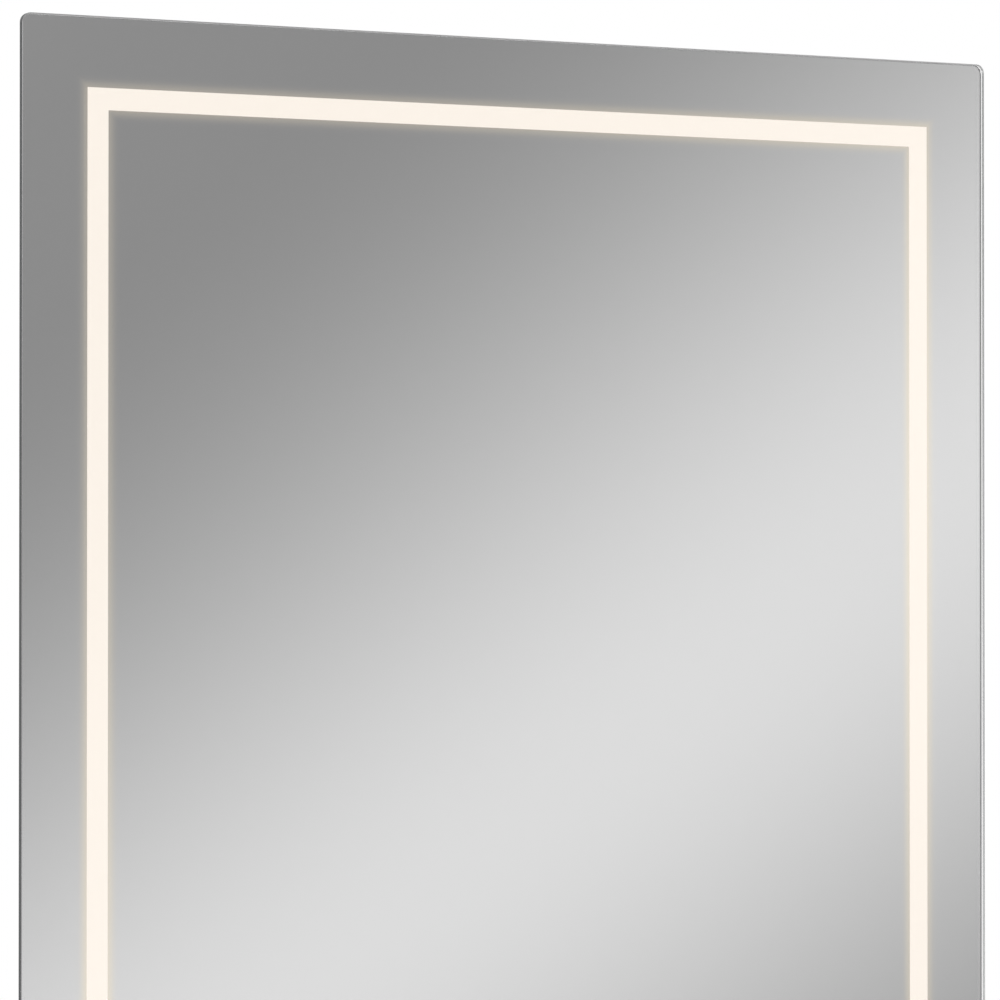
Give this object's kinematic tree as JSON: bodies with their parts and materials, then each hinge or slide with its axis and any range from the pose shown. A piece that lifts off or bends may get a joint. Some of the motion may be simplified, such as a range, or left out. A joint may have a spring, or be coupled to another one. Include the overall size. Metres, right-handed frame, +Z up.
{
  "type": "lighted bathroom mirror",
  "caption": "Thin rectangular wall mirror with a glowing band let into its silvering near the edge, on a set-back aluminium frame that hangs on a wall rail.",
  "frame": {"origin": "on the wall plane, midway between the wall rail's two round fixing holes", "axes": "+Z up; +Y into the wall, so the pane faces -Y; +X to the right as one looks at the pane"},
  "size_m": [0.6002, 0.0368, 0.8002],
  "materials": {
    "clear_float_glass": "clear float glass, ground arris",
    "edge_lacquer": "grey sealing lacquer on a ground rim",
    "silvering": "silver mirror coating with protective paint",
    "light_print": "white diffusing print, lit warm white",
    "shatter_film": "grey safety film",
    "foam_tape": "acrylic foam tape",
    "anodised_profile": "natural satin anodised extrusion",
    "opal_acrylic": "opal extruded acrylic",
    "circuit_strip": "white solder resist",
    "cast_key": "sawn aluminium",
    "zinc_steel": "bright zinc plated",
    "galvanised_sheet": "pale grey powder coat on zinc coated sheet steel",
    "foam_gasket": "closed-cell foam",
    "rail_aluminium": "mill finish extrusion",
    "moulded_box": "fine textured moulding",
    "grommet_rubber": "moulded rubber",
    "block_nylon": "moulded polyamide",
    "driver_case": "moulded polycarbonate",
    "mains_sheath": "extruded sheath",
    "feed_sheath": "extruded sheath",
    "earth_sheath": "green and yellow sheath",
    "clip_nylon": "moulded nylon",
    "bumper_silicone": "clear grey silicone"
  },
  "bodies": {
    "wall_side": {"wall_rail": "rail_aluminium"},
    "mirror": {"bonding_tape_inner": "foam_tape", "bonding_tape_outer": "foam_tape", "cable_clips": "clip_nylon", "cable_grommet": "grommet_rubber", "chassis_bottom": "anodised_profile", "chassis_left": "anodised_profile", "chassis_right": "anodised_profile", "chassis_top": "anodised_profile", "corner_boards": "circuit_strip", "corner_key_screws": "zinc_steel", "corner_keys": "cast_key", "cover_screws": "zinc_steel", "diffuser_bottom": "opal_acrylic", "diffuser_left": "opal_acrylic", "diffuser_right": "opal_acrylic", "diffuser_top": "opal_acrylic", "driver_screws": "zinc_steel", "earth_lead": "earth_sheath", "earth_stud": "zinc_steel", "edge_seal": "edge_lacquer", "film_border": "shatter_film", "film_field": "shatter_film", "hanger_rail": "rail_aluminium", "hanger_rivets": "rail_aluminium", "led_driver": "driver_case", "led_lead": "feed_sheath", "led_strip_bottom": "circuit_strip", "led_strip_left": "circuit_strip", "led_strip_right": "circuit_strip", "led_strip_top": "circuit_strip", "light_band": "light_print", "mains_lead": "mains_sheath", "mirror_glass": "clear_float_glass", "panel_gasket": "foam_gasket", "rear_panel": "galvanised_sheet", "rear_panel_screws": "zinc_steel", "silver_border": "silvering", "silver_field": "silvering", "terminal_block": "block_nylon", "terminal_box": "moulded_box", "terminal_cover": "moulded_box", "wall_bumpers": "bumper_silicone"}
  },
  "joints": [
    {"name": "lift_off", "type": "slide", "parent": "wall_side", "child": "mirror", "axis": [0, 0, 1], "range_m": [0, 0.012]}
  ]
}
